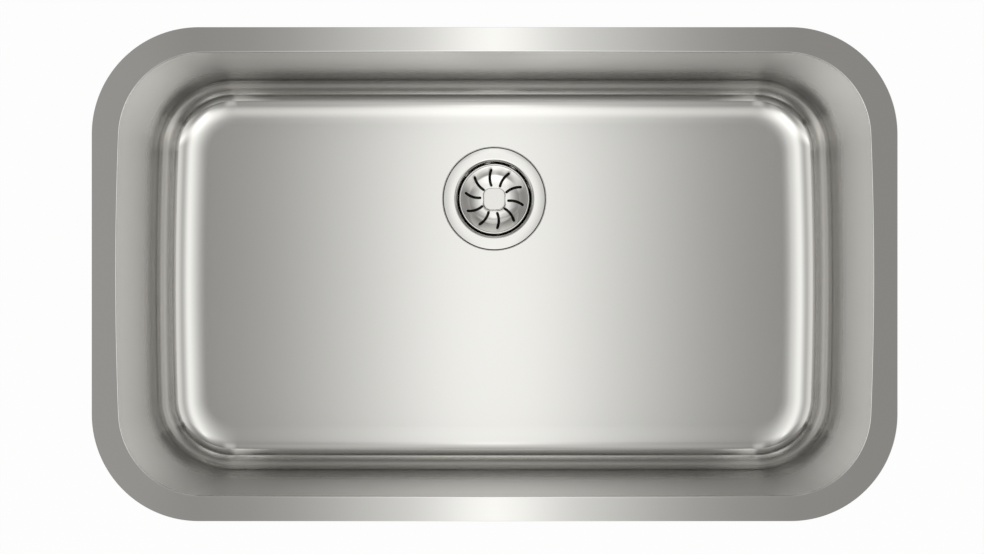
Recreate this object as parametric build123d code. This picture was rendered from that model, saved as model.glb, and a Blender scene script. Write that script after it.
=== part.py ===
from build123d import *
import os
from math import cos, radians, sin, sqrt, tan

os.makedirs("parts", exist_ok=True)

# Undermount sink, millimetres. z = 0 is the top face of the flange, the origin is the
# middle of the bowl opening, +Y points to the back where the waste is, +Z points up.

# bowl
sheet = 1.0
flange_length = 765.0
flange_width = 469.0
flange_corner = 101.5
flange_band_ends = 23.1
flange_band_sides = 23.4
opening_length = flange_length - 2 * flange_band_ends
opening_width = flange_width - 2 * flange_band_sides
opening_corner = 80.0
end_bow_radius = 3300.0
side_bow_radius = 40000.0
bowl_depth = 200.0
end_taper = 0.8
side_taper = 1.5
floor_fillet = 44.0
floor_dish_radius = 7700.0
rim_bend = 2.0
drain_from_back = 128.1
drain_y = opening_width / 2 - drain_from_back

# pressed seat and hole for the strainer
seat_depth = 2.0
seat_gap = 1.25
seat_edge = 0.6
waste_hole_radius = 44.5

# strainer flange and cup
strainer_flange_radius = 55.5
strainer_flange_top = 0.2
cup_sheet = 1.0
cup_radius = 40.5
cup_bend = 3.3
cup_shelf_drop = 37.0
cup_shelf_bend = 4.0
cup_sump_radius = 28.0
cup_sump_drop = 44.0
cup_sump_bend = 1.5
cup_hole_count = 8
cup_hole_radius = 4.2

# seals round the waste hole
body_seal_thick = 3.0
body_seal_width = 8.0

# basket
basket_sheet = 0.8
rim_bead_radius = 1.05
rim_gap = 2.0
rim_drop = 3.0
basket_height = 8.55
basket_flat = 18.8
basket_knee = 27.2
basket_knee_rise = 3.3
basket_dish_bend = 41.0
basket_bend = 15.0
slot_count = 10
slot_width = 3.0
slot_inner = 14.2
slot_outer = 33.3
slot_first_angle = 102.2
slot_lag = 6.0
slot_bow = 1.6

# knob on the basket
knob_width = 23.7
knob_corner = 8.0
knob_head = 5.0
knob_edge = 0.8
knob_drop = 2.5
knob_neck_radius = 7.4
knob_foot_radius = 10.5
knob_foot = 3.0

# stopper under the basket
stem_radius = 3.0
running_gap = 0.05
face_gap = 0.3
stem_head_radius = 4.6
stem_head = 2.4
stem_collar_radius = 6.0
stopper_drop = 13.75
stopper_plate_radius = 22.0
stopper_plate_thick = 1.0
stopper_radius = 34.0
stopper_lip = 3.5
stopper_web = 2.6
retainer_radius = 7.5
retainer_thick = 2.2

# clamp between cup and waste body
bolt_radius = 4.0
bolt_head_radius = 6.5
bolt_head = 3.2
bolt_socket = 5.0
washer_radius = 9.5
washer_thick = 1.0
insert_radius = 6.0
insert_length = 12.0
bolt_length = 24.0

# waste body
body_flange_radius = 56.0
body_flange_thick = 4.0
body_wall = 3.0
body_clearance = 2.0
body_cone_drop = 24.0
boss_radius = 9.5
boss_length = 20.0
spoke_count = 4
spoke_thick = 3.0
spoke_drop = 12.0
gusset_count = 8
gusset_thick = 2.5
gusset_drop = 14.0
neck_radius = 23.9
neck_wall = 3.4
neck_length = 26.0

# outlet
outlet_washer_thick = 3.0
pipe_radius = 20.0
pipe_wall = 1.9
pipe_flange_thick = 3.0
pipe_length = 60.0
nut_wall = 4.6
nut_bottom = 5.0
nut_reach = 16.0
nut_thread_gap = 0.2
nut_rib_count = 12
nut_rib = 1.6
nut_bore_gap = 0.8
joint_gap = 0.3

# sound-deadening pads
pad_thick = 2.5
pad_glue = 0.05
pad_corner = 15.0
pad_gap = 12.0
wall_pad_height = 75.0
wall_pad_top = 55.0

# earthing tag
tag_sheet = 0.8
tag_width = 14.0
tag_foot = 13.0
tag_drop = 18.0
tag_hole_radius = 2.6
tag_x = -200.0


def save(shape, node):
    export_step(shape, f"parts/{node}.step")


def disc(radius, low, high):
    """Solid disc about the waste axis between two heights."""
    return Pos(0, drain_y, low) * extrude(Circle(radius), amount=high - low)


def ring(outer, inner, low, high):
    """Flat ring about the waste axis between two heights."""
    return disc(outer, low, high) - disc(inner, low - 1, high + 1)


def turned(points):
    """Solid of revolution about the waste axis from (radius, height) points."""
    profile = make_face(Plane.XZ * Polyline(*points, close=True))
    return Pos(0, drain_y, 0) * revolve(profile, Axis.Z)


def around(shape, count, first=0.0):
    """Copies of a shape spaced evenly round the waste axis."""
    step = 360 / count
    return [Pos(0, drain_y, 0) * Rot(0, 0, first + step * i) * shape for i in range(count)]


# ---------------------------------------------------------------- bowl
def opening_plan(grow, depth=0.0):
    """Outline of the bowl at a depth, grown outward: four shallow arcs with rounded corners."""
    half_x = opening_length / 2 + grow - depth * tan(radians(end_taper))
    half_y = opening_width / 2 + grow - depth * tan(radians(side_taper))
    end_arc = end_bow_radius + grow
    side_arc = side_bow_radius + grow
    x = half_x
    y = half_y
    for _ in range(8):
        x = half_x - end_arc + sqrt(end_arc**2 - y**2)
        y = half_y - side_arc + sqrt(side_arc**2 - x**2)
    arcs = [
        ThreePointArc((x, -y), (half_x, 0), (x, y)),
        ThreePointArc((x, y), (0, half_y), (-x, y)),
        ThreePointArc((-x, y), (-half_x, 0), (-x, -y)),
        ThreePointArc((-x, -y), (0, -half_y), (x, -y)),
    ]
    plan = make_face(arcs)
    corner_taper = (end_taper + side_taper) / 2
    return fillet(plan.vertices(), opening_corner + grow - depth * tan(radians(corner_taper)))


def bowl_form(grow):
    """Solid that fills the bowl, grown outward by a thickness."""
    depth = bowl_depth + grow + rim_bend
    block = loft([opening_plan(grow), Pos(0, 0, -depth) * opening_plan(grow, depth)], ruled=True)
    ball = Rot(90, 0, 0) * Sphere(floor_dish_radius + grow)
    form = block & (Pos(0, drain_y, floor_dish_radius - bowl_depth) * ball)
    half = bowl_depth / 2
    low_edges = [e for e in form.edges() if e.bounding_box().max.Z < -half]
    return fillet(low_edges, floor_fillet + grow)


floor_z = -bowl_depth
seat_radius = strainer_flange_radius + seat_gap
seat_z = floor_z - seat_depth
seat_under = seat_z - sheet

inside = bowl_form(0)
outside = bowl_form(sheet)
flange_outline = RectangleRounded(flange_length, flange_width, flange_corner)
flange = extrude(flange_outline, amount=sheet, dir=(0, 0, -1))
seat_press = disc(seat_radius + sheet, seat_under, floor_z)
seat_cut = disc(seat_radius, seat_z, floor_z + seat_depth)

bowl = outside + flange + seat_press
bowl = bowl - inside - seat_cut - disc(waste_hole_radius, seat_under - 1, floor_z)


def is_mouth_edge(edge, height, grow):
    """True for the edges that run round the mouth at one height."""
    box = edge.bounding_box()
    level = abs(box.min.Z - height) < 0.01 and abs(box.max.Z - height) < 0.01
    in_x = max(abs(box.min.X), abs(box.max.X)) < opening_length / 2 + grow + 0.2
    in_y = max(abs(box.min.Y), abs(box.max.Y)) < opening_width / 2 + grow + 0.2
    return level and in_x and in_y


mouth_edges = [e for e in bowl.edges() if is_mouth_edge(e, 0, 0)]
bowl = fillet(mouth_edges, rim_bend)
under_edges = [e for e in bowl.edges() if is_mouth_edge(e, -sheet, sheet)]
bowl = fillet(under_edges, rim_bend - sheet)


def is_seat_edge(edge):
    """True for the round edge where the floor turns down into the pressed seat."""
    box = edge.bounding_box()
    wide = abs(box.size.X - 2 * seat_radius) < 0.05
    return wide and box.max.Z > seat_z + seat_depth / 2


bowl = fillet([e for e in bowl.edges() if is_seat_edge(e)], seat_edge)
save(bowl, "bowl")

# ---------------------------------------------------------------- pads
pad_inner = sheet + pad_glue
pad_skin = bowl_form(pad_inner + pad_thick) - bowl_form(pad_inner)
floor_under_x = opening_length / 2 - floor_fillet
floor_under_y = opening_width / 2 - floor_fillet
clear_of_waste = body_flange_radius + pad_gap


def floor_pad(x_low, x_high, y_low, y_high):
    """Piece of the skin under the floor inside a rounded rectangle."""
    middle = Pos((x_low + x_high) / 2, (y_low + y_high) / 2, -bowl_depth * 1.2)
    cutter = extrude(RectangleRounded(x_high - x_low, y_high - y_low, pad_corner), amount=bowl_depth / 2)
    return pad_skin & (middle * cutter)


def wall_pad(way, along, length):
    """Piece of the skin on the wall that faces one way, with its length along the other."""
    middle = (0, 0, -wall_pad_top - wall_pad_height / 2)
    wall = Plane(origin=middle, x_dir=along, z_dir=way)
    outline = RectangleRounded(length, wall_pad_height, pad_corner)
    return pad_skin & extrude(wall * outline, amount=opening_length)


pad_edge_x = floor_under_x - pad_gap
pad_edge_y = floor_under_y - pad_gap
save(floor_pad(-pad_edge_x, -clear_of_waste - pad_gap, -pad_edge_y, pad_edge_y), "floor_pad_left")
save(floor_pad(clear_of_waste + pad_gap, pad_edge_x, -pad_edge_y, pad_edge_y), "floor_pad_right")
front_pad_top = drain_y - clear_of_waste
save(floor_pad(-clear_of_waste, clear_of_waste, -pad_edge_y, front_pad_top), "floor_pad_front")
end_pad_length = (opening_width - 2 * opening_corner) * 0.8
side_pad_length = (opening_length - 2 * opening_corner) * 0.6
save(wall_pad((-1, 0, 0), (0, 1, 0), end_pad_length), "wall_pad_left")
save(wall_pad((1, 0, 0), (0, 1, 0), end_pad_length), "wall_pad_right")
save(wall_pad((0, -1, 0), (1, 0, 0), side_pad_length), "wall_pad_front")
save(wall_pad((0, 1, 0), (1, 0, 0), side_pad_length), "wall_pad_back")

# ---------------------------------------------------------------- earthing tag
tag_y = flange_width / 2 - (flange_width - opening_width) / 4
tag_foot_y = tag_y - tag_foot / 2
tag_low = -sheet - tag_drop
foot_box = Box(tag_width, tag_foot, tag_sheet, align=(Align.CENTER, Align.MIN, Align.MAX))
leg_box = Box(tag_width, tag_sheet, tag_drop, align=(Align.CENTER, Align.MAX, Align.MAX))
tag = Pos(tag_x, tag_foot_y, -sheet) * foot_box + Pos(tag_x, tag_foot_y + tag_foot, -sheet) * leg_box
tag_bend = [
    e for e in tag.edges().filter_by(Axis.X)
    if abs(e.center().Z + sheet + tag_sheet) < 0.01 and abs(e.center().Y - tag_foot_y) > 1
]
tag = fillet(tag_bend, tag_sheet)
tag_ends = [e for e in tag.edges().filter_by(Axis.Y) if abs(e.center().Z - tag_low) < 0.01]
tag = fillet(tag_ends, tag_width / 4)
tag_hole = Pos(tag_x, tag_foot_y, tag_low + tag_width / 2) * Rot(90, 0, 0) * Cylinder(tag_hole_radius, 4 * tag_foot)
save(tag - tag_hole, "earth_tag")

# ---------------------------------------------------------------- strainer flange and cup
flange_top_z = floor_z - strainer_flange_top
flange_under_z = flange_top_z - cup_sheet
half_sheet = cup_sheet / 2
mid_radius = cup_radius + half_sheet
shelf_z = flange_top_z - cup_shelf_drop
sump_z = flange_top_z - cup_sump_drop
sump_mid = cup_sump_radius + half_sheet
cup_bolt_hole = bolt_radius + 0.3

cup_line = FilletPolyline(
    (strainer_flange_radius - half_sheet, flange_top_z - half_sheet),
    (mid_radius, flange_top_z - half_sheet),
    (mid_radius, shelf_z - half_sheet),
    (sump_mid, shelf_z - half_sheet),
    (sump_mid, sump_z - half_sheet),
    (cup_bolt_hole + half_sheet, sump_z - half_sheet),
    radius=(cup_bend + half_sheet, cup_shelf_bend, cup_sump_bend, cup_sump_bend),
)


def turned_sheet(line, thick):
    """Sheet-metal turning about the waste axis from its middle line, edges rounded."""
    profile = Plane.XZ * Face(Wire(line.edges()).offset_2d(thick / 2))
    return Pos(0, drain_y, 0) * revolve(profile, Axis.Z)


cup = turned_sheet(cup_line, cup_sheet)
hole_ring = (cup_sump_radius + washer_radius) / 2
hole_drill = Pos(hole_ring, 0, sump_z) * Cylinder(cup_hole_radius, 4 * cup_sheet)
for drill in around(hole_drill, cup_hole_count):
    cup -= drill
save(cup, "strainer_cup")

seal_outer = strainer_flange_radius - 1
save(ring(seal_outer, waste_hole_radius + 1, seat_z, flange_under_z), "flange_seal")

# ---------------------------------------------------------------- waste body
body_top_z = seat_under - body_seal_thick
body_seal_inner = waste_hole_radius + 1
save(ring(body_seal_inner + body_seal_width, body_seal_inner, body_top_z, seat_under), "body_seal")

body_bore = cup_radius + cup_sheet + body_clearance
body_outer = body_bore + body_wall
cup_under_z = sump_z - cup_sheet
cone_top_z = cup_under_z
cone_low_z = cone_top_z - body_cone_drop
neck_end_z = cone_low_z - neck_length
neck_bore = neck_radius - neck_wall

body_hull = turned([
    (0, body_top_z),
    (body_flange_radius, body_top_z),
    (body_flange_radius, body_top_z - body_flange_thick),
    (body_outer, body_top_z - body_flange_thick),
    (body_outer, cone_top_z),
    (neck_radius, cone_low_z),
    (neck_radius, neck_end_z),
    (0, neck_end_z),
])
body_room = turned([
    (0, body_top_z + 1),
    (body_bore, body_top_z + 1),
    (body_bore, cone_top_z),
    (neck_bore, cone_low_z),
    (neck_bore, neck_end_z - 1),
    (0, neck_end_z - 1),
])
boss = disc(boss_radius, cup_under_z - boss_length, cup_under_z)
spoke_z = cup_under_z - boss_length + spoke_drop / 2
spoke = Pos(body_outer / 2, 0, spoke_z) * Box(body_outer, spoke_thick, spoke_drop)
gusset = make_face(Plane.XZ * Polyline(
    (body_outer - body_wall / 2, body_top_z - body_flange_thick),
    (body_flange_radius - 1, body_top_z - body_flange_thick),
    (body_outer - body_wall / 2, body_top_z - body_flange_thick - gusset_drop),
    close=True,
))
gusset = Pos(0, gusset_thick / 2, 0) * extrude(gusset, amount=gusset_thick)

body = body_hull - body_room + boss
for arm in around(spoke, spoke_count, 45):
    body += arm & body_hull
for fin in around(gusset, gusset_count, 22.5):
    body += fin

insert_top_z = cup_under_z - 2
insert_low_z = insert_top_z - insert_length
body -= disc(bolt_radius + 0.5, insert_top_z - 1, cup_under_z + 1)
body -= disc(insert_radius, insert_low_z, insert_top_z)
bolt_top_z = sump_z + washer_thick
bolt_tip_z = bolt_top_z - bolt_length
body -= disc(bolt_radius + 0.5, cup_under_z - boss_length - 1, insert_low_z + 1)
save(body, "waste_body")
save(ring(insert_radius, bolt_radius, insert_low_z, insert_top_z), "brass_insert")

# ---------------------------------------------------------------- clamp bolt
shank = disc(bolt_radius, bolt_tip_z, bolt_top_z)
head = disc(bolt_head_radius, bolt_top_z, bolt_top_z + bolt_head)
head = fillet(head.edges().group_by(Axis.Z)[-1], 0.8)
socket = extrude(RegularPolygon(bolt_socket / 2, 6, major_radius=False), amount=bolt_head)
socket = Pos(0, drain_y, bolt_top_z + bolt_head * 0.4) * socket
save(shank + head - socket, "clamp_bolt")
save(ring(washer_radius, bolt_radius + 0.2, sump_z, bolt_top_z), "bolt_washer")

# ---------------------------------------------------------------- basket
rim_z = flange_top_z - rim_drop - rim_bead_radius
bead_mid = cup_radius - rim_gap - rim_bead_radius
bottom_z = rim_z - basket_height
half_basket = basket_sheet / 2
stem_hole = stem_radius + running_gap

basket_line = FilletPolyline(
    (stem_hole + half_basket, bottom_z),
    (basket_flat, bottom_z),
    (basket_knee, bottom_z + basket_knee_rise),
    (bead_mid - half_basket, rim_z),
    radius=(basket_dish_bend, basket_bend),
)
bead = Plane.XZ * Pos(bead_mid, rim_z) * Circle(rim_bead_radius)
basket = turned_sheet(basket_line, basket_sheet) + Pos(0, drain_y, 0) * revolve(bead, Axis.Z)

slot_start = slot_inner + slot_width / 2
slot_end = slot_outer - slot_width / 2
start = Vector(slot_start, 0)
end = Vector(slot_end * cos(radians(slot_lag)), -slot_end * sin(radians(slot_lag)))
chord = (end - start).normalized()
bow_side = Vector(-chord.Y, chord.X)
middle = (start + end) / 2 + bow_side * slot_bow
slot_face = SlotArc(ThreePointArc(start, middle, end).edge(), slot_width)
slot = Pos(0, 0, bottom_z - basket_height) * extrude(slot_face, amount=2 * basket_height)
for cut in around(slot, slot_count, slot_first_angle):
    basket -= cut
save(basket, "basket")

# ---------------------------------------------------------------- knob
knob_top_z = flange_top_z - knob_drop
knob_base_z = bottom_z + half_basket
head_low_z = knob_top_z - knob_head
knob_outline = RectangleRounded(knob_width, knob_width, knob_corner)
knob_cap = Pos(0, drain_y, head_low_z) * extrude(knob_outline, amount=knob_head)
knob_cap = fillet(knob_cap.edges().group_by(Axis.Z)[-1] + knob_cap.edges().group_by(Axis.Z)[0], knob_edge)
knob_neck = disc(knob_neck_radius, knob_base_z, head_low_z + knob_edge)
knob_base = disc(knob_foot_radius, knob_base_z, knob_base_z + knob_foot)
knob_base = fillet(knob_base.edges().group_by(Axis.Z)[-1], knob_edge)

stem_head_z = knob_base_z + knob_foot
pocket_low_z = stem_head_z - face_gap
pocket_top_z = stem_head_z + stem_head + face_gap
pocket = disc(stem_head_radius + face_gap, pocket_low_z, pocket_top_z)
knob_bore = disc(stem_hole, knob_base_z - 1, pocket_low_z)
save(knob_cap + knob_neck + knob_base - pocket - knob_bore, "basket_knob")

# ---------------------------------------------------------------- stopper
collar_top_z = bottom_z - half_basket - face_gap
plate_top_z = bottom_z - half_basket - stopper_drop
plate_low_z = plate_top_z - stopper_plate_thick
web_low_z = plate_low_z - stopper_web
retainer_low_z = web_low_z - retainer_thick
stem_low_z = retainer_low_z - 1

stem = disc(stem_radius, stem_low_z, stem_head_z + stem_head)
stem += disc(stem_head_radius, stem_head_z, stem_head_z + stem_head)
stem += disc(stem_collar_radius, plate_top_z, collar_top_z)
save(stem, "stopper_stem")
save(ring(stopper_plate_radius, stem_radius, plate_low_z, plate_top_z), "stopper_plate")

lip_inner = stopper_radius - stopper_lip
rubber = ring(stopper_radius, stem_radius, web_low_z, plate_low_z)
rubber = fillet(rubber.faces().sort_by(Axis.Z)[-1].outer_wire().edges(), stopper_web / 2)
rubber += ring(stopper_radius, lip_inner, shelf_z, web_low_z)
save(rubber, "stopper_seal")

retainer = extrude(RegularPolygon(retainer_radius, 6), amount=retainer_thick)
retainer = Pos(0, drain_y, retainer_low_z) * retainer
save(retainer - disc(stem_radius, stem_low_z, web_low_z), "seal_retainer")

# ---------------------------------------------------------------- outlet
joint_radius = neck_radius - joint_gap
pipe_top_z = neck_end_z - outlet_washer_thick
pipe_flange_z = pipe_top_z - pipe_flange_thick
nut_low_z = pipe_flange_z - nut_bottom
nut_top_z = neck_end_z + nut_reach
pipe_end_z = nut_low_z - pipe_length
save(ring(joint_radius, neck_bore, pipe_top_z, neck_end_z), "outlet_washer")

pipe = disc(pipe_radius, pipe_end_z, pipe_top_z) + disc(joint_radius, pipe_flange_z, pipe_top_z)
save(pipe - disc(pipe_radius - pipe_wall, pipe_end_z - 1, pipe_top_z + 1), "tail_pipe")

thread_radius = neck_radius + nut_thread_gap
nut_radius = thread_radius + nut_wall
nut = disc(nut_radius, nut_low_z, nut_top_z)
rib_height = nut_top_z - nut_low_z - nut_bottom / 2
rib = Pos(nut_radius, 0, nut_low_z + nut_bottom / 2) * extrude(Circle(nut_rib), amount=rib_height)
for grip in around(rib, nut_rib_count):
    nut += grip
nut -= disc(thread_radius, pipe_flange_z, nut_top_z + 1)
nut -= disc(pipe_radius + nut_bore_gap, nut_low_z - 1, nut_top_z)
save(nut, "coupling_nut")
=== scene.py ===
import bpy
from math import atan2, ceil, cos, pi, radians, sin, sqrt, tan

import numpy as np
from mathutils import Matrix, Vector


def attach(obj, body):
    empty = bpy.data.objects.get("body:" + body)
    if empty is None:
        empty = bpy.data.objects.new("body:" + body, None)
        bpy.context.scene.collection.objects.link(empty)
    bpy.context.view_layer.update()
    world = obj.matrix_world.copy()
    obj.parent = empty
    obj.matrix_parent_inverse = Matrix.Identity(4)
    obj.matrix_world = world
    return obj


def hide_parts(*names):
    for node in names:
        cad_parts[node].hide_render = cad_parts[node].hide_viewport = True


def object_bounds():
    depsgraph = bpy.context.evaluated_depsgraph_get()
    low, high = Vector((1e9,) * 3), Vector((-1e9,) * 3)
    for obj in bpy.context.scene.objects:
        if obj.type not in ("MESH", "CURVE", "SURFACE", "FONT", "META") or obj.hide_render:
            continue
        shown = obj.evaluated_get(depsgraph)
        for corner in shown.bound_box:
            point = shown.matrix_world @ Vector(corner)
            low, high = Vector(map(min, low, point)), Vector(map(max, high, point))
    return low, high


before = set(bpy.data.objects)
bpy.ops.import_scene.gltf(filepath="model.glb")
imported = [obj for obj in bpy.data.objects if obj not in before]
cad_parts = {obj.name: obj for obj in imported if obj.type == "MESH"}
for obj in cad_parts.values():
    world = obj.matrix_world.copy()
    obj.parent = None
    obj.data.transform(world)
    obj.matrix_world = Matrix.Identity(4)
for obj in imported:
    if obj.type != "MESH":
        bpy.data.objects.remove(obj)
cad_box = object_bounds()
scene = bpy.context.scene
mm = 0.001

# ------------------------------------------------------------------ sizes of the real sink, mm
sheet = 1.0
flange_length = 765.0
flange_width = 469.0
flange_corner = 101.5
flange_edge = 0.25
opening_length = 718.8
opening_width = 422.2
opening_corner = 80.0
end_bow = 3300.0
side_bow = 40000.0
bowl_depth = 200.0
end_taper = radians(0.8)
side_taper = radians(1.5)
end_fillet = 45.0
side_fillet = 43.0
dish = 7700.0
rim_bend = 1.1
drain_y = 83.0
seat_radius = 56.75
seat_edge = 0.6
seat_z = -202.0
waste_hole = 44.5

seal_inner = 45.5
seal_outer = 56.45
seal_thick = 0.8

cup_sheet = 1.0
cup_top = -200.2
cup_radius = 40.5
cup_flange = 55.5
cup_depth = 37.0            # down to the shelf that the stopper closes on
sump_depth = 44.0
shelf_radius = 28.0
bolt_hole = 4.3
outlet_count = 8
outlet_ring = 18.75
outlet_radius = 4.2

basket_sheet = 0.8
basket_height = 8.55
basket_bore = 3.05
basket_flat = 18.8
basket_knee = 27.2
basket_knee_rise = 3.3
bead_middle = 37.45
bead_radius = 1.05
bead_drop = 3.0             # top of the bead below the strainer flange
slot_count = 10
slot_width = 3.0
slot_inner = 14.2
slot_outer = 33.3
slot_bow = 1.6
slot_lag = radians(6)
slot_first = 102.2          # degrees

knob_width = 23.7
knob_corner = 8.0
knob_drop = 2.5
knob_head = 5.0
knob_edge = 0.8
knob_edge_low = 0.9
knob_neck = 7.4
knob_foot = 10.5
knob_foot_height = 3.0


# ------------------------------------------------------------------ finishes
def linear(colour, alpha=1.0):
    """Linear colour of an sRGB hex value."""
    parts = [int(colour[i:i + 2], 16) / 255 for i in (1, 3, 5)]
    return [p / 12.92 if p <= 0.04045 else ((p + 0.055) / 1.055) ** 2.4 for p in parts] + [alpha]


def add(tree, kind, joins=None, stops=None, **settings):
    """One node with its settings; joins gives each socket a value or the socket it is fed from."""
    node = tree.nodes.new("ShaderNode" + kind)
    for name, value in settings.items():
        setattr(node, name, value)
    for name, value in (joins or {}).items():
        if isinstance(value, bpy.types.NodeSocket):
            tree.links.new(value, node.inputs[name])
        else:
            node.inputs[name].default_value = value
    if stops:
        marks = node.color_ramp.elements
        while len(marks) < len(stops):
            marks.new(0.5)
        for mark, (place, level) in zip(marks, stops):
            mark.position = place
            mark.color = level if isinstance(level, list) else [level, level, level, 1]
    return node


def blank(name):
    """Empty material, all its nodes cleared."""
    made = bpy.data.materials.new(name)
    made.use_nodes = True
    made.node_tree.nodes.clear()
    return made, made.node_tree


floor_haze = 0.20
fillet_haze = 0.05
wall_haze = 0.32
flange_haze = 0.09
steel_tone = "#D8D7D5"


def satin_stainless():
    """304 stainless sheet, deep drawn and satin ground: a clear but soft mirror, the floor ground coarser, the
    walls' colour darkened with painted shade.
    """
    made, tree = blank("satin_ground_stainless_304")
    place = add(tree, "TexCoord").outputs["Object"]
    parts = add(tree, "SeparateXYZ", {0: place}).outputs
    # height above the dished floor, as a share of the bowl's depth
    level = add(tree, "VectorMath", {0: place, 1: (1.0, 1.0, 0.0)}, operation="MULTIPLY").outputs[0]
    reach = add(tree, "VectorMath", {0: level, 1: (0.0, drain_y * mm, 0.0)},
                operation="DISTANCE").outputs["Value"]
    rise = add(tree, "Math", {0: reach, 1: 2.0}, operation="POWER").outputs[0]
    rise = add(tree, "Math", {0: rise, 1: -0.5 / (dish * mm), 2: bowl_depth * mm},
               operation="MULTIPLY_ADD").outputs[0]
    above = add(tree, "Math", {0: parts["Z"], 1: rise}, operation="ADD").outputs[0]
    above = add(tree, "Math", {0: above, 1: bowl_depth * mm}, operation="DIVIDE").outputs[0]
    # haze by height, matched to the photograph: clearest in the fillet, softest up the walls
    rough = add(tree, "ValToRGB", {0: above}, stops=[
        (0.0, floor_haze), (0.012, floor_haze), (0.03, fillet_haze), (0.055, 0.07), (0.08, 0.15),
        (0.22, 0.15), (0.30, 0.18), (0.55, wall_haze),
    ]).outputs[0]
    # painted shade by height, matched to the photograph: the base colour is darkened up the walls to stand in
    # for the shade they get, so the walls are greyer than floor and flange
    painted_wall_shade = add(tree, "ValToRGB", {0: above}, stops=[
        (0.0, linear(steel_tone)), (0.18, linear(steel_tone)), (0.26, linear("#BDBCBA")),
        (0.50, linear("#C2C1BF")), (0.85, linear("#D4D3D1")),
    ]).outputs[0]
    on_flange = add(tree, "MapRange", {0: parts["Z"], 1: -2.0 * mm, 2: -1.0 * mm, 3: 0.0, 4: 1.0}).outputs[0]
    rough = add(tree, "Mix", {0: on_flange, 2: rough, 3: flange_haze}).outputs[0]
    # the flange keeps the plain steel tone, without the painted wall shade
    painted_wall_shade = add(tree, "Mix", {0: on_flange, 6: painted_wall_shade, 7: linear(steel_tone)}, data_type="RGBA").outputs[2]
    cloud = add(tree, "TexNoise", {"Vector": place, "Scale": 9.0, "Detail": 3.0}).outputs["Fac"]
    rough = add(tree, "Math", {0: cloud, 1: 0.03, 2: rough}, operation="MULTIPLY_ADD").outputs[0]
    # grit of 0.4 mm, coarser than the real 0.05 mm so that it can show
    grit = add(tree, "TexNoise", {"Vector": place, "Scale": 1 / (0.4 * mm), "Detail": 2.0}).outputs["Fac"]
    bump = add(tree, "Bump", {"Height": grit, "Strength": 0.003, "Distance": 0.02 * mm}).outputs[0]
    # the base colour carries the painted wall shade
    steel = add(tree, "BsdfPrincipled", {
        "Base Color": painted_wall_shade, "Metallic": 1.0, "Roughness": rough, "Normal": bump,
    })
    add(tree, "OutputMaterial", {"Surface": steel.outputs[0]})
    return made


def plain(name, colour, metallic, roughness, grit_mm=0.5, depth_mm=0.02, strength=0.2):
    """Finish with a faint grain: colour and roughness vary a little, and the grain stands in relief."""
    made, tree = blank(name)
    place = add(tree, "TexCoord").outputs["Object"]
    grain = add(tree, "TexNoise", {"Vector": place, "Scale": 1 / (grit_mm * mm), "Detail": 3.0}).outputs["Fac"]
    cloud = add(tree, "TexNoise", {"Vector": place, "Scale": 40.0, "Detail": 2.0}).outputs["Fac"]
    rough = add(tree, "MapRange", {0: cloud, 3: roughness - 0.04, 4: roughness + 0.04}).outputs[0]
    dark = [v * 0.94 for v in linear(colour)[:3]] + [1.0]
    tint = add(tree, "Mix", {0: cloud, 6: dark, 7: linear(colour)}, data_type="RGBA").outputs[2]
    bump = add(tree, "Bump", {"Height": grain, "Strength": strength, "Distance": depth_mm * mm}).outputs[0]
    body = add(tree, "BsdfPrincipled", {
        "Base Color": tint, "Metallic": metallic, "Roughness": rough, "Normal": bump,
    })
    add(tree, "OutputMaterial", {"Surface": body.outputs[0]})
    return made


bowl_steel = satin_stainless()
# cup drawn from 304 sheet and buffed: near a mirror, it takes the light in broad sweeps
cup_steel = plain("buffed_drawn_stainless_cup", "#D9D8D6", 1.0, 0.12, 0.4, 0.01, 0.05)
# basket pressed from bright-rolled 304: mirror bright, with dark lines where it bends
basket_steel = plain("bright_pressed_stainless_basket", "#DBDAD8", 1.0, 0.08, 0.4, 0.01, 0.05)
# knob turned from bar and satin brushed: a soft, even grey with quiet edges
knob_steel = plain("satin_turned_stainless_knob", "#D6D5D3", 1.0, 0.25, 0.4, 0.01, 0.08)
# screw, washer, stem and nut machined from bar: soft glints along their turned faces
pin_steel = plain("machined_stainless_pins", "#CFCCC6", 1.0, 0.25)
# tag stamped from sheet and left as sheared: dull and even
tag_steel = plain("stamped_stainless_tag", "#C9C6C0", 1.0, 0.30)
# nitrile rubber moulded in a matt tool: near black, its light broad and faint
seal_rubber = plain("moulded_nitrile_rubber", "#242424", 0.0, 0.62, 0.6, 0.05, 0.3)
# polypropylene moulded in a grained tool: dark grey with a low sheen
body_plastic = plain("moulded_polypropylene_body", "#3A3B3C", 0.0, 0.42, 0.8, 0.04, 0.3)
# the nut comes from a smoother tool: darker, with a slightly tighter sheen
nut_plastic = plain("moulded_polypropylene_nut", "#2E2F30", 0.0, 0.40, 0.8, 0.03, 0.25)
# drawn polypropylene pipe: pale, waxy and almost without grain
pipe_plastic = plain("extruded_polypropylene_pipe", "#E6E5E1", 0.0, 0.38, 1.2, 0.02, 0.15)
# brass turned from bar: warm, with a soft satin gleam
insert_brass = plain("turned_brass_insert", "#D8B66A", 1.0, 0.25)
# bitumen sheet pressed with a coarse pebble: dull, with a rough skin; 1.5 mm grain, as real
pad_rubber = plain("pressed_bitumen_damping_pad", "#4A4B4C", 0.0, 0.75, 1.5, 0.2, 0.4)

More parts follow.
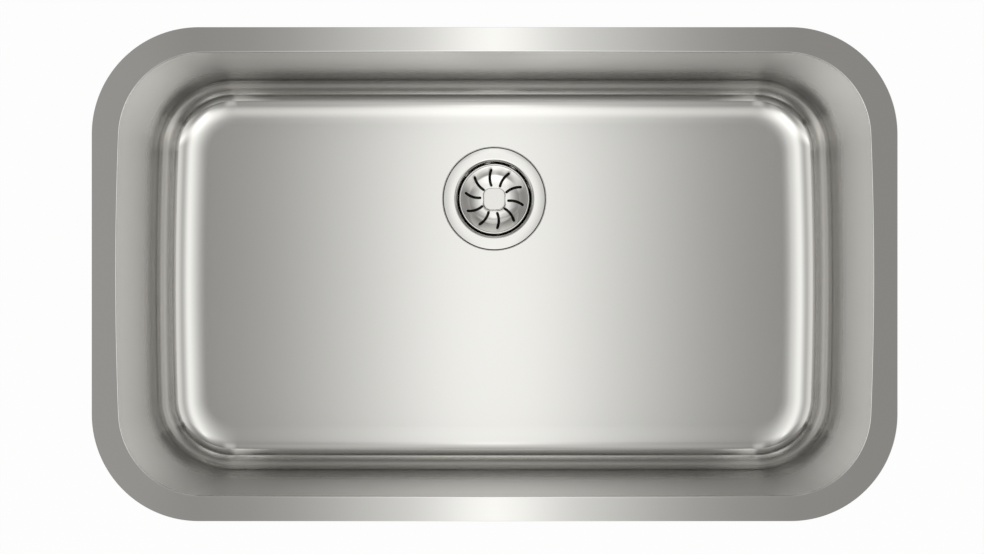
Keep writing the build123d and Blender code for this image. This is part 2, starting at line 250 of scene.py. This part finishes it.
node_finish = {
    "bowl": bowl_steel, "earth_tag": tag_steel, "strainer_cup": cup_steel, "basket": basket_steel,
    "basket_knob": knob_steel, "clamp_bolt": pin_steel, "bolt_washer": pin_steel, "stopper_stem": pin_steel,
    "stopper_plate": body_plastic, "seal_retainer": pin_steel, "stopper_seal": seal_rubber,
    "flange_seal": seal_rubber, "body_seal": seal_rubber, "outlet_washer": seal_rubber,
    "waste_body": body_plastic, "coupling_nut": nut_plastic, "tail_pipe": pipe_plastic,
    "brass_insert": insert_brass, "floor_pad_left": pad_rubber, "floor_pad_right": pad_rubber,
    "floor_pad_front": pad_rubber, "wall_pad_left": pad_rubber, "wall_pad_right": pad_rubber,
    "wall_pad_front": pad_rubber, "wall_pad_back": pad_rubber,
}
for node, finish in node_finish.items():
    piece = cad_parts[node]
    if piece.material_slots:
        for place in piece.material_slots:
            place.material = finish
    else:
        piece.data.materials.append(finish)


# ------------------------------------------------------------------ mesh helpers
def piece_from(name, points, faces, finish, slot, body, *nodes):
    """Smooth mesh piece from points in millimetres, placed in the frame and riding on a body."""
    mesh = bpy.data.meshes.new(name)
    mesh.from_pydata(np.asarray(points) * mm, [], faces)
    mesh.materials.append(finish)
    mesh.update()
    piece = bpy.data.objects.new(name, mesh)
    scene.collection.objects.link(piece)
    mesh.polygons.foreach_set("use_smooth", [True] * len(mesh.polygons))
    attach(piece, body)
    if nodes:
        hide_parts(*nodes)
    return piece


def grid_faces(rows, columns, wrap_rows=False):
    """Quads of a grid whose columns run right round."""
    faces = []
    for row in range(rows if wrap_rows else rows - 1):
        below = row * columns
        above = ((row + 1) % rows) * columns
        for column in range(columns):
            beside = (column + 1) % columns
            faces.append((below + column, below + beside, above + beside, above + column))
    return faces


def rounded(points, bends, closed=False, turn=12.0):
    """Points and left-hand normals along a bent line, each corner an arc stepped every few degrees."""
    points = [np.array(p, float) for p in points]
    count = len(points)
    out = []
    for i, corner in enumerate(points):
        if not closed and i in (0, count - 1):
            other = points[1] if i == 0 else points[-2]
            way = (other - corner) if i == 0 else (corner - other)
            way /= np.linalg.norm(way)
            out.append((corner, np.array([-way[1], way[0]])))
            continue
        before = corner - points[i - 1]
        after = points[(i + 1) % count] - corner
        before /= np.linalg.norm(before)
        after /= np.linalg.norm(after)
        angle = atan2(before[0] * after[1] - before[1] * after[0], before @ after)
        bend = bends[i] if isinstance(bends, (list, tuple)) else bends
        reach = bend * abs(tan(angle / 2))
        side = 1 if angle > 0 else -1
        left = np.array([-before[1], before[0]])
        middle = corner - before * reach + left * side * bend
        steps = max(2, ceil(abs(angle) / radians(turn)))
        for k in range(steps + 1):
            swing = angle * k / steps
            normal = np.array([left[0] * cos(swing) - left[1] * sin(swing),
                               left[0] * sin(swing) + left[1] * cos(swing)])
            out.append((middle - normal * side * bend, normal))
    return out


def sheet_loop(points, bends, thick, turn=12.0):
    """Closed outline of bent sheet metal from its middle line, with round edges."""
    line = rounded(points, bends, turn=turn)
    half = thick / 2
    loop = [p + n * half for p, n in line]
    end, normal = line[-1]
    way = np.array([normal[1], -normal[0]])
    loop += [end + (normal * cos(a) + way * sin(a)) * half for a in np.linspace(0, pi, 7)[1:-1]]
    loop += [p - n * half for p, n in reversed(line)]
    start, normal = line[0]
    way = np.array([-normal[1], normal[0]])
    loop += [start + (-normal * cos(a) + way * sin(a)) * half for a in np.linspace(0, pi, 7)[1:-1]]
    return loop


def spun(loop, steps):
    """Points and faces of a loop of (radius, height) turned about the waste axis."""
    angles = np.linspace(0, 2 * pi, steps, endpoint=False)
    points = [(r * cos(a), drain_y + r * sin(a), z) for r, z in loop for a in angles]
    return points, grid_faces(len(loop), steps, wrap_rows=True)


def face_out(piece, crease=35):
    """Faces turned outward, with hard shading only along real edges."""
    bpy.context.view_layer.objects.active = piece
    for other in bpy.context.selected_objects:
        other.select_set(False)
    piece.select_set(True)
    bpy.ops.object.mode_set(mode="EDIT")
    bpy.ops.mesh.select_all(action="SELECT")
    bpy.ops.mesh.normals_make_consistent(inside=False)
    bpy.ops.object.mode_set(mode="OBJECT")
    piece.data.set_sharp_from_angle(angle=radians(crease))
    piece.select_set(False)


def cut(piece, points, faces):
    """Holes cut through a piece."""
    mesh = bpy.data.meshes.new("drill")
    mesh.from_pydata(np.asarray(points) * mm, [], faces)
    drill = bpy.data.objects.new("drill", mesh)
    scene.collection.objects.link(drill)
    change = piece.modifiers.new("holes", "BOOLEAN")
    change.operation = "DIFFERENCE"
    change.solver = "EXACT"
    change.object = drill
    bpy.context.view_layer.objects.active = piece
    bpy.ops.object.modifier_apply(modifier=change.name)
    bpy.data.objects.remove(drill)


def prism(outline, low, high):
    """Points and faces of a straight prism, the outline running anticlockwise."""
    count = len(outline)
    points = [(x, y, low) for x, y in outline] + [(x, y, high) for x, y in outline]
    faces = [(i, (i + 1) % count, count + (i + 1) % count, count + i) for i in range(count)]
    return points, faces + [tuple(range(count))[::-1], tuple(range(count, 2 * count))]


# ------------------------------------------------------------------ bowl
def mouth():
    """Points and outward normals round the bowl mouth, with the matching point of the flange's edge."""
    half_x = opening_length / 2
    half_y = opening_width / 2
    x, y = half_x - opening_corner, half_y - opening_corner
    for _ in range(12):
        x = half_x - end_bow + sqrt((end_bow - opening_corner) ** 2 - y ** 2)
        y = half_y - side_bow + sqrt((side_bow - opening_corner) ** 2 - x ** 2)
    end_angle = atan2(y, x - half_x + end_bow)
    side_angle = atan2(y - half_y + side_bow, x)
    flat_x = flange_length / 2 - flange_corner
    flat_y = flange_width / 2 - flange_corner
    quarter = []
    runs = (
        (24, 0, end_angle, (half_x - end_bow, 0), end_bow),
        (40, end_angle, side_angle, (x, y), opening_corner),
        (48, side_angle, pi / 2, (0, half_y - side_bow), side_bow),
    )
    for run, (count, first, last, centre, radius) in enumerate(runs):
        for k in range(count):
            share = k / count
            angle = first + (last - first) * share
            normal = np.array([cos(angle), sin(angle)])
            if run == 0:
                edge = np.array([flange_length / 2, flat_y * share])
                edge_normal = np.array([1.0, 0.0])
            elif run == 1:
                edge_normal = np.array([cos(pi / 2 * share), sin(pi / 2 * share)])
                edge = np.array([flat_x, flat_y]) + flange_corner * edge_normal
            else:
                edge = np.array([flat_x * (1 - share), flange_width / 2])
                edge_normal = np.array([0.0, 1.0])
            quarter.append((np.array(centre) + radius * normal, normal, edge, edge_normal))
    last = (np.array([0, half_y]), np.array([0.0, 1.0]), np.array([0, flange_width / 2]), np.array([0.0, 1.0]))
    half = quarter + [last] + [tuple(v * (-1, 1) for v in item) for item in quarter[:0:-1]]
    return half + [tuple(-v for v in item) for item in half]


def bowl_rows():
    """Rows of (points, normals before, normals after) over the pressed sheet, flange edge to waste hole."""
    ring = mouth()
    at = np.array([item[0] for item in ring])
    out = np.array([item[1] for item in ring])
    edge = np.array([item[2] for item in ring])
    edge_out = np.array([item[3] for item in ring])
    count = len(ring)
    up = np.array([0.0, 0.0, 1.0])

    def flat(plan, z):
        return np.column_stack([plan, np.full(count, z) if np.isscalar(z) else z])

    taper = end_taper * out[:, 0] ** 2 + side_taper * out[:, 1] ** 2
    floor_fillet = (end_fillet * out[:, 0] ** 2 + side_fillet * out[:, 1] ** 2)[:, None]
    slope = np.tan(taper)[:, None]
    lean = np.cos(taper)[:, None]
    dip = np.sin(taper)[:, None]
    out3 = flat(out, 0.0)
    edge3 = flat(edge_out, 0.0)
    up3 = np.tile(up, (count, 1))
    rows = []
    # rounded edge of the flange
    for angle in np.radians([0, 30, 60, 90]):
        normal = edge3 * cos(angle) + up3 * sin(angle)
        rows.append((flat(edge - edge_out * flange_edge, -flange_edge) + normal * flange_edge, normal, normal))
    bend_plan = at + out * rim_bend * (1 / lean - slope)
    for share in (0.25, 0.5, 0.75):
        plan = (edge - edge_out * flange_edge) * (1 - share) + bend_plan * share
        rows.append((flat(plan, 0.0), up3, up3))
    # bend at the mouth
    for share in np.linspace(0, 1, 10):
        angle = ((pi / 2 - taper) * share)[:, None]
        normal = up3 * np.cos(angle) - out3 * np.sin(angle)
        rows.append((flat(bend_plan, -rim_bend) + normal * rim_bend, normal, normal))
    # ball centres of the floor fillet
    top = dish - bowl_depth
    depth = np.full(count, 155.0)
    for _ in range(8):
        plan = at - out * (floor_fillet / lean + depth[:, None] * slope)
        reach = (plan[:, 0]) ** 2 + (plan[:, 1] - drain_y) ** 2
        depth = -(top - np.sqrt((dish - floor_fillet[:, 0]) ** 2 - reach))
    centre = flat(plan, -depth)
    down = centre - np.array([0, drain_y, top])
    down /= np.linalg.norm(down, axis=1)[:, None]
    side = out3 * lean - up3 * dip
    wall_low = centre + side * floor_fillet
    wall_high = flat(bend_plan, -rim_bend) - side * rim_bend
    for share in np.linspace(0, 1, 14)[1:-1]:
        rows.append((wall_high * (1 - share) + wall_low * share, -side, -side))
    # floor fillet
    angle = np.arccos(np.clip((side * down).sum(1), -1, 1))[:, None]
    for share in np.linspace(0, 1, 41):
        way = (side * np.sin((1 - share) * angle) + down * np.sin(share * angle)) / np.sin(angle)
        rows.append((centre + way * floor_fillet, -way, -way))
    # floor, falling to the waste
    floor_line = rows[-1][0][:, :2]
    toward = floor_line - np.array([0, drain_y])
    toward /= np.linalg.norm(toward, axis=1)[:, None]
    seat_line = np.array([0, drain_y]) + toward * (seat_radius + seat_edge)
    for share in np.linspace(0, 1, 29)[1:]:
        plan = floor_line * (1 - share) + seat_line * share
        reach = plan[:, 0] ** 2 + (plan[:, 1] - drain_y) ** 2
        points = flat(plan, top - np.sqrt(dish ** 2 - reach))
        normal = (np.array([0, drain_y, top]) - points) / dish
        rows.append((points, normal, normal))
    # edge of the pressed seat
    toward3 = flat(toward, 0.0)
    brink = float(rows[-1][0][0, 2]) - seat_edge
    for angle in np.radians([15, 30, 45, 60, 75, 90]):
        normal = up3 * cos(angle) - toward3 * sin(angle)
        rows.append((flat(seat_line, brink) + normal * seat_edge, normal, normal))
    drain = np.tile([0, drain_y], (count, 1))
    rows.append((flat(drain + toward * seat_radius, seat_z), -toward3, up3))
    rows.append((flat(drain + toward * waste_hole, seat_z), up3, -toward3))
    # back through the hole and over the underside
    under = seat_z - sheet
    rows.append((flat(drain + toward * waste_hole, under), -toward3, -up3))
    rows.append((flat(drain + toward * (seat_radius + sheet), under), -up3, toward3))
    reach = seat_radius + sheet
    shelf = top - sqrt((dish + sheet) ** 2 - reach ** 2)
    rows.append((flat(drain + toward * reach, shelf), toward3, -up3))
    return rows, up3


def drawn_bowl():
    """The pressed bowl: smooth inside skin with its true curvature, and the same skin a sheet lower outside."""
    rows, up3 = bowl_rows()
    count = len(up3)
    skin_rows = rows[4:-11]
    under = []
    for points, normal, _ in reversed(skin_rows[::2]):
        under.append((points - normal * sheet, -normal, -normal))
    edge_points = rows[0][0]
    edge_normal = rows[0][1]
    low = edge_points.copy()
    low[:, 2] = -sheet
    under.append((low, -up3, edge_normal))
    rows = rows + under
    points = np.concatenate([row[0] for row in rows])
    faces = grid_faces(len(rows), count, wrap_rows=True)
    bowl = piece_from("bowl_sheet", points, faces, bowl_steel, "bowl_steel", "sink", "bowl")
    first = np.arange(count)
    second = (first + 1) % count
    normals = []
    for number in range(len(rows)):
        here = rows[number][2]
        there = rows[(number + 1) % len(rows)][1]
        strip = np.stack([here[first], here[second], there[second], there[first]], axis=1)
        normals.append(strip.reshape(-1, 3))
    normals = np.concatenate(normals)
    # the grid runs clockwise seen from above, so its faces already look into the bowl
    bowl.data.normals_split_custom_set(normals.tolist())
    return bowl


drawn_bowl()

# ------------------------------------------------------------------ seal seen in the joint round the strainer
seal_top = seat_z + seal_thick
seal_corners = [(seal_inner, seat_z), (seal_outer, seat_z), (seal_outer, seal_top), (seal_inner, seal_top)]
seal_loop = rounded(seal_corners, 0.2, closed=True)
points, faces = spun([p for p, _ in seal_loop], 192)
seal = piece_from("flange_seal_ring", points, faces, seal_rubber, "seal_rubber", "sink", "flange_seal")
face_out(seal)

# ------------------------------------------------------------------ strainer cup
shelf_z = cup_top - cup_depth
sump_z = cup_top - sump_depth
half = cup_sheet / 2
cup_line = [
    (cup_flange - half, cup_top - half), (cup_radius + half, cup_top - half),
    (cup_radius + half, shelf_z - half), (shelf_radius + half, shelf_z - half),
    (shelf_radius + half, sump_z - half), (bolt_hole + half, sump_z - half),
]
points, faces = spun(sheet_loop(cup_line, [0, 3.3 + half, 4.0, 1.5, 1.5, 0], cup_sheet, 9.0), 256)
cup = piece_from("strainer_cup_sheet", points, faces, cup_steel, "cup_steel", "sink", "strainer_cup")
drills, drill_faces = [], []
for k in range(outlet_count):
    turn = radians(360 / outlet_count * k)
    middle = (outlet_ring * cos(turn), drain_y + outlet_ring * sin(turn))
    ways = np.linspace(0, 2 * pi, 33)[:-1]
    rim = [(middle[0] + outlet_radius * cos(a), middle[1] + outlet_radius * sin(a)) for a in ways]
    made, made_faces = prism(rim, sump_z - 4, sump_z + 3)
    drill_faces += [tuple(i + len(drills) for i in face) for face in made_faces]
    drills += made
cut(cup, drills, drill_faces)
face_out(cup)

# ------------------------------------------------------------------ basket
rim_z = cup_top - bead_drop - bead_radius
basket_low = rim_z - basket_height
basket_line = [
    (basket_bore + basket_sheet / 2, basket_low), (basket_flat, basket_low),
    (basket_knee, basket_low + basket_knee_rise),
    (bead_middle - basket_sheet / 2, rim_z),
]
points, faces = spun(sheet_loop(basket_line, [0, 41.0, 15.0, 0], basket_sheet, 1.0), 320)
basket = piece_from("basket_sheet", points, faces, basket_steel, "basket_steel", "basket", "basket")
slot_start = slot_inner + slot_width / 2
slot_end = slot_outer - slot_width / 2
first_end = np.array([slot_start, 0.0])
last_end = slot_end * np.array([cos(slot_lag), -sin(slot_lag)])
chord = last_end - first_end
span = np.linalg.norm(chord)
chord /= span
bow_side = np.array([-chord[1], chord[0]])
bow_radius = (span / 2) ** 2 / (2 * slot_bow) + slot_bow / 2
bow_middle = (first_end + last_end) / 2 + bow_side * (slot_bow - bow_radius)
half_angle = np.arcsin(span / 2 / bow_radius)
outline = []
facing = atan2(bow_side[1], bow_side[0])
for side in (1, -1):
    for a in np.linspace(-half_angle * side, half_angle * side, 13):
        way = np.array([cos(facing + a), sin(facing + a)])
        outline.append(bow_middle + way * (bow_radius + side * slot_width / 2))
    swing = facing + side * half_angle
    tip = bow_middle + bow_radius * np.array([cos(swing), sin(swing)])
    first = 0 if side == 1 else pi
    for a in np.linspace(first, first + pi, 9)[1:-1]:
        outline.append(tip + slot_width / 2 * np.array([cos(swing + a), sin(swing + a)]))
drills, drill_faces = [], []
for k in range(slot_count):
    turn = radians(slot_first + 360 / slot_count * k)
    spin = np.array([[cos(turn), -sin(turn)], [sin(turn), cos(turn)]])
    placed = [spin @ p + (0, drain_y) for p in outline]
    made, made_faces = prism(placed, basket_low - 5, rim_z + 5)
    drill_faces += [tuple(i + len(drills) for i in face) for face in made_faces]
    drills += made
cut(basket, drills, drill_faces)
face_out(basket)
ways = np.linspace(0, 2 * pi, 21)[:-1]
bead_loop = [(bead_middle + bead_radius * cos(a), rim_z + bead_radius * sin(a)) for a in ways]
points, faces = spun(bead_loop, 256)
bead = piece_from("basket_rim_bead", points, faces, basket_steel, "basket_steel", "basket")
face_out(bead)


# ------------------------------------------------------------------ knob
def knob_outline(inset, steps=24):
    """Rounded square of the knob's head, drawn inward."""
    reach = knob_width / 2 - inset
    corner = max(knob_corner - inset, 0.5)
    flat = reach - corner
    points = []
    for quarter in range(4):
        for k in range(steps):
            a = pi / 2 * (k / (steps - 1))
            x, y = flat + corner * cos(a), flat + corner * sin(a)
            turn = pi / 2 * quarter
            points.append((x * cos(turn) - y * sin(turn), x * sin(turn) + y * cos(turn)))
    return [np.array(p) for p in points]


def round_outline(radius, like):
    """Circle whose points stand at the same bearings as the head's outline."""
    return [p / np.linalg.norm(p) * radius for p in like]


knob_top = cup_top - knob_drop
knob_low = basket_low + basket_sheet / 2
head_low = knob_top - knob_head
rows = []
for share in (0.25, 0.5, 0.75):
    rows.append(([p * share for p in knob_outline(knob_edge)], knob_top))
for a in np.radians(np.linspace(0, 90, 8)):
    rows.append((knob_outline(knob_edge * (1 - sin(a))), knob_top - knob_edge * (1 - cos(a))))
for a in np.radians(np.linspace(0, 90, 6)):
    rows.append((knob_outline(knob_edge_low * (1 - cos(a))), head_low + knob_edge_low * (1 - sin(a))))
like = knob_outline(knob_edge_low)
rows.append((round_outline(knob_neck + 1.0, like), head_low))
for a in np.radians([30, 60, 90]):
    rows.append((round_outline(knob_neck + 1.0 - sin(a), like), head_low - 1.0 + cos(a)))
foot_top = knob_low + knob_foot_height
for a in np.radians([0, 30, 60, 90]):
    rows.append((round_outline(knob_neck + 1.0 - cos(a), like), foot_top + 1.0 - sin(a)))
for a in np.radians([0, 30, 60, 90]):
    rows.append((round_outline(knob_foot - 0.9 * (1 - sin(a)), like), foot_top - 0.9 * (1 - cos(a))))
rows.append((round_outline(knob_foot, like), knob_low))
rows.append((round_outline(3.2, like), knob_low))
points = [(p[0], p[1] + drain_y, z) for outline, z in rows for p in outline]
columns = len(like)
faces = grid_faces(len(rows), columns)
points.append((0, drain_y, knob_top))
faces += [(len(points) - 1, (i + 1) % columns, i) for i in range(columns)]
points.append((0, drain_y, knob_low))
last = (len(rows) - 1) * columns
faces += [(len(points) - 1, last + i, last + (i + 1) % columns) for i in range(columns)]
knob = piece_from("basket_pull_knob", points, faces, knob_steel, "knob_steel", "basket", "basket_knob")
face_out(knob)

# ------------------------------------------------------------------ studio
floor_level = cad_box[0][2] - 0.0002


def sheet_of(name, width, depth, height, finish):
    """Flat stage sheet centred over the part."""
    x, y = width / 2, depth / 2
    mesh = bpy.data.meshes.new(name)
    mesh.from_pydata([(-x, -y, 0), (x, -y, 0), (x, y, 0), (-x, y, 0)], [], [(0, 1, 2, 3)])
    mesh.materials.append(finish)
    made = bpy.data.objects.new(name, mesh)
    made.location.z = height
    scene.collection.objects.link(made)
    return made


floor_paint, tree = blank("white_studio_floor")
path = add(tree, "LightPath")
direct = add(tree, "Math", {0: path.outputs["Is Camera Ray"], 1: path.outputs["Is Glossy Ray"]},
             operation="MAXIMUM")
direct = add(tree, "Math", {0: direct.outputs[0], 1: path.outputs["Is Transmission Ray"]}, operation="MAXIMUM")
share = add(tree, "Math", {0: direct.outputs[0], 1: 0.97}, operation="MULTIPLY").outputs[0]
paint = add(tree, "BsdfPrincipled", {"Base Color": linear("#F4F4F3"), "Roughness": 0.7}).outputs[0]
glow = add(tree, "Emission", {"Color": linear("#FFFFFF"), "Strength": 1.0}).outputs[0]
mixed = add(tree, "MixShader", {0: share, 1: paint, 2: glow}).outputs[0]
add(tree, "OutputMaterial", {"Surface": mixed})
sheet_of("studio_floor", 6.0, 6.0, floor_level, floor_paint)

steel_share = 0.70          # part of the light that the steel gives back
panel_half = 0.42           # m, where the overhead panel's light has died away
panel_tint = linear("#FEFFFD")

panel_glow, tree = blank("overhead_softbox_glow")
place = add(tree, "SeparateXYZ", {0: add(tree, "TexCoord").outputs["Object"]})
across = add(tree, "Math", {0: place.outputs["X"]}, operation="ABSOLUTE").outputs[0]
across = add(tree, "Math", {0: across, 1: panel_half}, operation="DIVIDE").outputs[0]
along = add(tree, "Math", {0: place.outputs["Y"]}, operation="ABSOLUTE").outputs[0]
wide = add(tree, "ValToRGB", {0: across}, stops=[
    (0.0, 1.0), (0.128, 0.95), (0.251, 0.765), (0.373, 0.56), (0.496, 0.39),
    (0.618, 0.22), (0.74, 0.105), (0.95, 0.0),
]).outputs[0]
narrow = add(tree, "ValToRGB", {0: across}, stops=[
    (0.0, 1.0), (0.064, 0.91), (0.117, 0.77), (0.171, 0.63), (0.224, 0.52), (0.331, 0.37), (0.436, 0.23),
    (0.543, 0.12), (0.65, 0.05), (0.8, 0.0),
]).outputs[0]
beyond = add(tree, "MapRange", {0: along, 1: 0.215, 2: 0.25, 3: 0.0, 4: 1.0},
             interpolation_type="SMOOTHSTEP").outputs[0]
form = add(tree, "Mix", {0: beyond, 6: wide, 7: narrow}, data_type="RGBA").outputs[2]
length = add(tree, "ValToRGB", {0: along}, stops=[
    (0.0, 0.87), (0.2, 0.87), (0.25, 0.95), (0.29, 0.95), (0.36, 0.38), (0.45, 0.19), (0.58, 0.0),
]).outputs[0]
level = add(tree, "Math", {0: form, 1: length}, operation="MULTIPLY").outputs[0]
level = add(tree, "Math", {0: level, 1: 0.785 / steel_share}, operation="MULTIPLY").outputs[0]
glow = add(tree, "Emission", {"Color": panel_tint, "Strength": level}).outputs[0]
clear = add(tree, "BsdfTransparent").outputs[0]
both = add(tree, "AddShader", {0: glow, 1: clear}).outputs[0]
add(tree, "OutputMaterial", {"Surface": both})
panel = sheet_of("overhead_softbox", 0.84, 1.2, 0.235, panel_glow)
panel.visible_camera = False

world = bpy.data.worlds.new("soft_studio")
scene.world = world
world.use_nodes = True
tree = world.node_tree
tree.nodes.clear()
way = add(tree, "SeparateXYZ", {0: add(tree, "TexCoord").outputs["Generated"]}).outputs
minus_y = add(tree, "Math", {0: way["Y"], 1: -1.0}, operation="MULTIPLY").outputs[0]
front = add(tree, "Math", {0: minus_y, 1: way["Z"]}, operation="ARCTAN2").outputs[0]
front = add(tree, "Math", {0: front, 1: radians(-31)}, operation="ADD").outputs[0]
front = add(tree, "Math", {0: front}, operation="ABSOLUTE").outputs[0]
front = add(tree, "MapRange", {0: front, 1: 0.0, 2: radians(22), 3: 1.0, 4: 0.0},
            interpolation_type="SMOOTHSTEP").outputs[0]
aside = add(tree, "Math", {0: way["X"]}, operation="ABSOLUTE").outputs[0]
middle = add(tree, "MapRange", {0: aside, 1: 0.0, 2: 0.14,
                              3: 0.15 / steel_share, 4: 0.36 / steel_share}).outputs[0]
front = add(tree, "Math", {0: front, 1: middle}, operation="MULTIPLY").outputs[0]
low = add(tree, "Math", {0: aside, 1: way["Z"]}, operation="ARCTAN2").outputs[0]
low = add(tree, "Math", {0: low, 1: radians(-73)}, operation="ADD").outputs[0]
low = add(tree, "Math", {0: low}, operation="ABSOLUTE").outputs[0]
low = add(tree, "MapRange", {0: low, 1: 0.0, 2: radians(25), 3: 0.45 / steel_share, 4: 0.0},
          interpolation_type="SMOOTHSTEP").outputs[0]
spread_y = add(tree, "Math", {0: way["Y"]}, operation="ABSOLUTE").outputs[0]
spread = add(tree, "MapRange", {0: spread_y, 1: 0.35, 2: 0.8, 3: 1.0, 4: 0.0},
           interpolation_type="SMOOTHSTEP").outputs[0]
low = add(tree, "Math", {0: low, 1: spread}, operation="MULTIPLY").outputs[0]
total = add(tree, "Math", {0: front, 1: low}, operation="ADD").outputs[0]
fore = add(tree, "Math", {0: spread_y, 1: way["Z"]}, operation="ARCTAN2").outputs[0]
dim = add(tree, "MapRange", {0: fore, 1: radians(56), 2: radians(70), 3: 0.0, 4: 0.5},
           interpolation_type="SMOOTHSTEP").outputs[0]
keep = add(tree, "MapRange", {0: aside, 1: 0.4, 2: 0.8, 3: 1.0, 4: 0.0},
           interpolation_type="SMOOTHSTEP").outputs[0]
dim = add(tree, "Math", {0: dim, 1: keep}, operation="MULTIPLY").outputs[0]
base_light = 0.245 / steel_share
base = add(tree, "Math", {0: dim, 1: -base_light, 2: base_light}, operation="MULTIPLY_ADD").outputs[0]
total = add(tree, "Math", {0: total, 1: base}, operation="ADD").outputs[0]
steep = add(tree, "MapRange", {0: fore, 1: radians(42), 2: radians(56), 3: 0.0, 4: 0.22 / steel_share},
            interpolation_type="SMOOTHSTEP").outputs[0]
thin = add(tree, "MapRange", {0: aside, 1: 0.03, 2: 0.16, 3: 1.0, 4: 0.0},
           interpolation_type="SMOOTHSTEP").outputs[0]
steep = add(tree, "Math", {0: steep, 1: thin}, operation="MULTIPLY").outputs[0]
total = add(tree, "Math", {0: total, 1: steep}, operation="ADD").outputs[0]
# faint light from the left, which the left of the flange gives back
left = add(tree, "MapRange", {0: way["X"], 1: -0.20, 2: -0.25, 3: 0.0, 4: 0.055 / steel_share},
           interpolation_type="SMOOTHSTEP").outputs[0]
left_end = add(tree, "MapRange", {0: way["X"], 1: -0.38, 2: -0.32, 3: 0.0, 4: 1.0},
           interpolation_type="SMOOTHSTEP").outputs[0]
left = add(tree, "Math", {0: left, 1: left_end}, operation="MULTIPLY").outputs[0]
total = add(tree, "Math", {0: total, 1: left}, operation="ADD").outputs[0]
seen = add(tree, "LightPath").outputs["Is Camera Ray"]
total = add(tree, "Mix", {0: seen, 2: total, 3: 1.0}).outputs[0]
sky = add(tree, "Background", {"Color": linear("#FFFEFA"), "Strength": total}).outputs[0]
add(tree, "OutputWorld", {"Surface": sky})

camera_data = bpy.data.cameras.new("camera")
camera_data.sensor_width = 36.0
camera_data.lens = 1380.2 / 984 * 36.0
camera = bpy.data.objects.new("camera", camera_data)
camera.location = (-0.0025, -0.0027, 1.310)
scene.collection.objects.link(camera)
scene.camera = camera

scene.view_settings.view_transform = "Standard"
